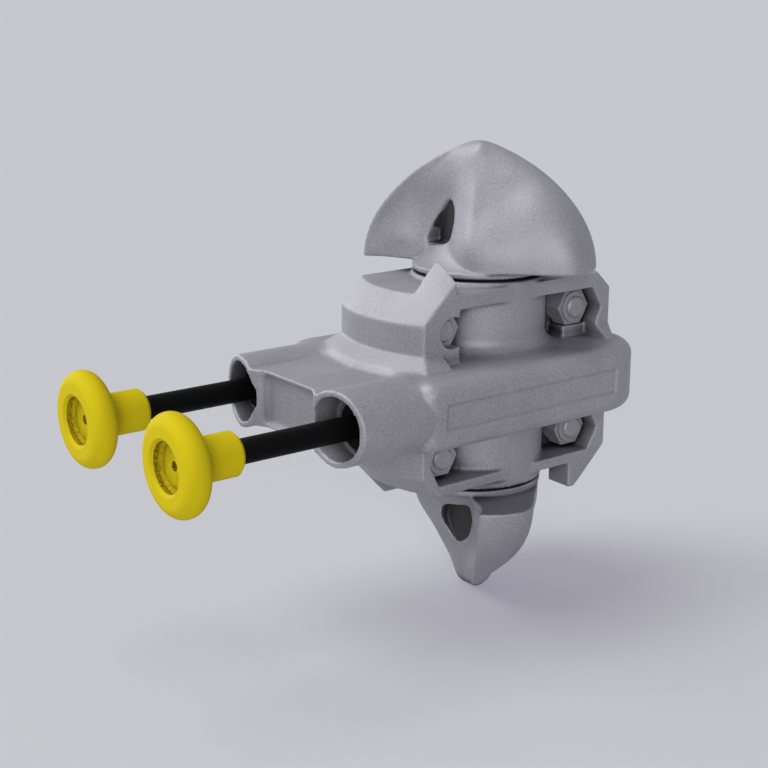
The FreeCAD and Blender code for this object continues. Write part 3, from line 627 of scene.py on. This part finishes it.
def smooth_shaded(node):
    """Shades a CAD node's curved faces smooth and keeps its edges sharp."""
    data = nodes[node].data
    data.shade_smooth()
    data.set_sharp_from_angle(angle=math.radians(CAD_CREASE))


def seen_directly(tree, links):
    """1 on camera, glossy and transmission rays, 0 on the rays that only carry light."""
    path = tree.new("ShaderNodeLightPath")
    seen = path.outputs["Is Camera Ray"]
    for ray in ("Is Glossy Ray", "Is Transmission Ray"):
        either = tree.new("ShaderNodeMath")
        either.operation = "MAXIMUM"
        links.new(seen, either.inputs[0])
        links.new(path.outputs[ray], either.inputs[1])
        seen = either.outputs[0]
    return seen


def floor(low):
    """The plain pale floor. In view it has the backdrop's tone and keeps a soft shadow."""
    half = FLOOR_SIZE / 2
    corners = [(-half, -half), (half, -half), (half, half), (-half, half)]
    mesh = bpy.data.meshes.new("floor")
    mesh.from_pydata([(x, y, low) for x, y in corners], [], [(0, 1, 2, 3)])
    made = bpy.data.objects.new("floor", mesh)
    scene.collection.objects.link(made)
    material, tree, links = new_material("floor")
    bouncing = tree["Principled BSDF"]
    bouncing.inputs["Base Color"].default_value = (*FLOOR_COLOUR, 1)
    bouncing.inputs["Roughness"].default_value = FLOOR_ROUGHNESS
    bouncing.inputs["Specular IOR Level"].default_value = 0.0
    lit = tree.new("ShaderNodeBsdfDiffuse")
    shares = list(zip(BACKDROP_COLOUR, FLOOR_LIT_SHARE))
    lit.inputs["Color"].default_value = (*(tone * share / FLOOR_LEVEL for tone, share in shares), 1)
    plain = tree.new("ShaderNodeEmission")
    plain.inputs["Color"].default_value = (*(tone * (1 - share) for tone, share in shares), 1)
    both = tree.new("ShaderNodeAddShader")
    links.new(lit.outputs[0], both.inputs[0])
    links.new(plain.outputs[0], both.inputs[1])
    choice = tree.new("ShaderNodeMixShader")
    links.new(seen_directly(tree, links), choice.inputs["Fac"])
    links.new(bouncing.outputs[0], choice.inputs[1])
    links.new(both.outputs[0], choice.inputs[2])
    links.new(choice.outputs[0], tree["Material Output"].inputs["Surface"])
    mesh.materials.append(material)


def lamps():
    """Large soft lamps: from the front, the left and behind on the left."""
    for name, (azimuth, elevation, strength) in LAMPS.items():
        data = bpy.data.lights.new(name, "SUN")
        data.energy = strength
        data.angle = math.radians(LAMP_SOFTNESS)
        made = bpy.data.objects.new(name, data)
        made.rotation_euler = (0, math.radians(90 - elevation), math.radians(azimuth))
        scene.collection.objects.link(made)


def world():
    """Weak even light; the camera, gloss and glass see the backdrop's own pale tone."""
    made = bpy.data.worlds.new("studio")
    made.use_nodes = True
    tree = made.node_tree.nodes
    links = made.node_tree.links
    background = tree["Background"]
    background.inputs["Color"].default_value = (1, 1, 1, 1)
    background.inputs["Strength"].default_value = AMBIENT
    seen = tree.new("ShaderNodeBackground")
    seen.inputs["Color"].default_value = (*BACKDROP_COLOUR, 1)
    seen.inputs["Strength"].default_value = 1.0
    choice = tree.new("ShaderNodeMixShader")
    links.new(seen_directly(tree, links), choice.inputs["Fac"])
    links.new(background.outputs[0], choice.inputs[1])
    links.new(seen.outputs[0], choice.inputs[2])
    links.new(choice.outputs[0], tree["World Output"].inputs["Surface"])
    scene.world = made


def dress():
    """Gives every node its material, and the castings their soft edges."""
    steel = cast_steel()
    # The pins' ends in the pockets are finished near-black as painted shade
    pin_end_shade = plated_steel("pin_end_painted_shade", PIN_END_SHADE_COLOUR)
    by_slot = {
        "cast_steel": steel,
        "zinc_steel": plated_steel("zinc_steel", ZINC_COLOUR),
        "black_plastic": dark_plastic("black_plastic", BLACK_COLOUR),
        # The bushes' near-black also stands for the shadow in the gap under the cones: partly painted
        # shade
        "bush_plastic": dark_plastic("bush_plastic", BUSH_AND_GAP_SHADE_COLOUR),
        "yellow_plastic": knob_plastic(),
    }
    for name, thing in nodes.items():
        finish = pin_end_shade if name in HIDDEN_PINS else by_slot[slot_of_node(name)]
        thing.data.materials.clear()
        thing.data.materials.append(finish)
        smooth_shaded(name)
    cast_housing("housing_front", "housing_rear", steel)
    cast_cone("upper_cone", steel, False)
    cast_cone("lower_cone", steel, True)


camera()
floor(cad_box[0].z)
lamps()
world()
dress()
scene.view_settings.view_transform = "Standard"
